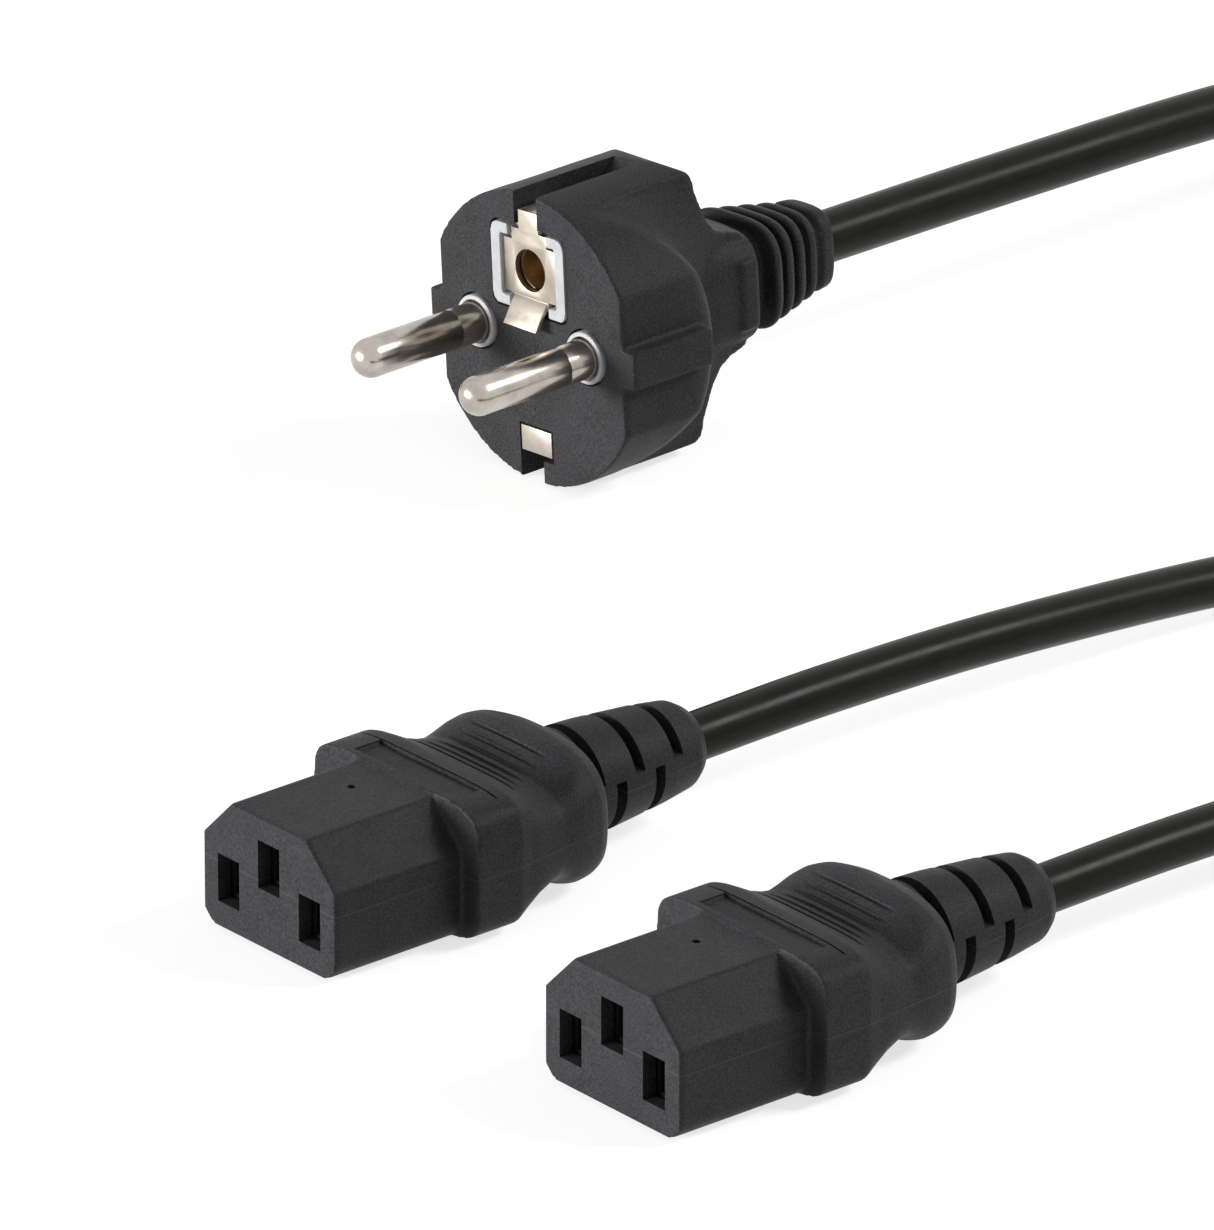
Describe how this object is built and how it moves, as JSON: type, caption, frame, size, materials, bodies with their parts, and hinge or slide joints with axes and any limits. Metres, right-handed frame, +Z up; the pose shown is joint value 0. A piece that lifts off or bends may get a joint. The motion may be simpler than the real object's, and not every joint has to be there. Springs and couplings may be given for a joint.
{
  "type": "power cord splitter",
  "caption": "Y-shaped mains lead: an earthed round plug feeds appliance connectors through a moulded splitter block, with its cords laid on the floor.",
  "frame": {"origin": "on the floor, under the middle of the moulded pieces", "axes": "+Z up, +Y from the contact faces back along the cords, +X from the plug to the connectors"},
  "size_m": [0.17, 0.3676, 0.036],
  "materials": {
    "black_overmould": "fine grain, matte",
    "black_carrier": "matte",
    "grey_insulator": "smooth, satin",
    "plated_metal": "nickel plated, bright",
    "brass": "plain",
    "brown_conductor": "insulation",
    "blue_conductor": "insulation",
    "green_yellow_conductor": "insulation",
    "cord_jacket": "smooth, half gloss"
  },
  "bodies": {
    "root": {"plug_overmould": "black_overmould", "plug_bridge": "grey_insulator", "plug_line_pin": "plated_metal", "plug_neutral_pin": "plated_metal", "plug_earth_strap": "plated_metal", "plug_earth_sleeve": "brass", "plug_line_lead": "brown_conductor", "plug_neutral_lead": "blue_conductor", "plug_earth_lead": "green_yellow_conductor", "first_connector_overmould": "black_overmould", "first_connector_carrier": "black_carrier", "first_connector_line_contact": "brass", "first_connector_line_lead": "brown_conductor", "first_connector_earth_contact": "brass", "first_connector_earth_lead": "green_yellow_conductor", "first_connector_neutral_contact": "brass", "first_connector_neutral_lead": "blue_conductor", "second_connector_overmould": "black_overmould", "second_connector_carrier": "black_carrier", "second_connector_line_contact": "brass", "second_connector_line_lead": "brown_conductor", "second_connector_earth_contact": "brass", "second_connector_earth_lead": "green_yellow_conductor", "second_connector_neutral_contact": "brass", "second_connector_neutral_lead": "blue_conductor", "splitter_block": "black_overmould", "main_cord_front": "cord_jacket", "main_cord_coil": "cord_jacket", "main_cord_rear": "cord_jacket", "leg_cord_first": "cord_jacket", "leg_cord_second": "cord_jacket"}
  },
  "joints": []
}
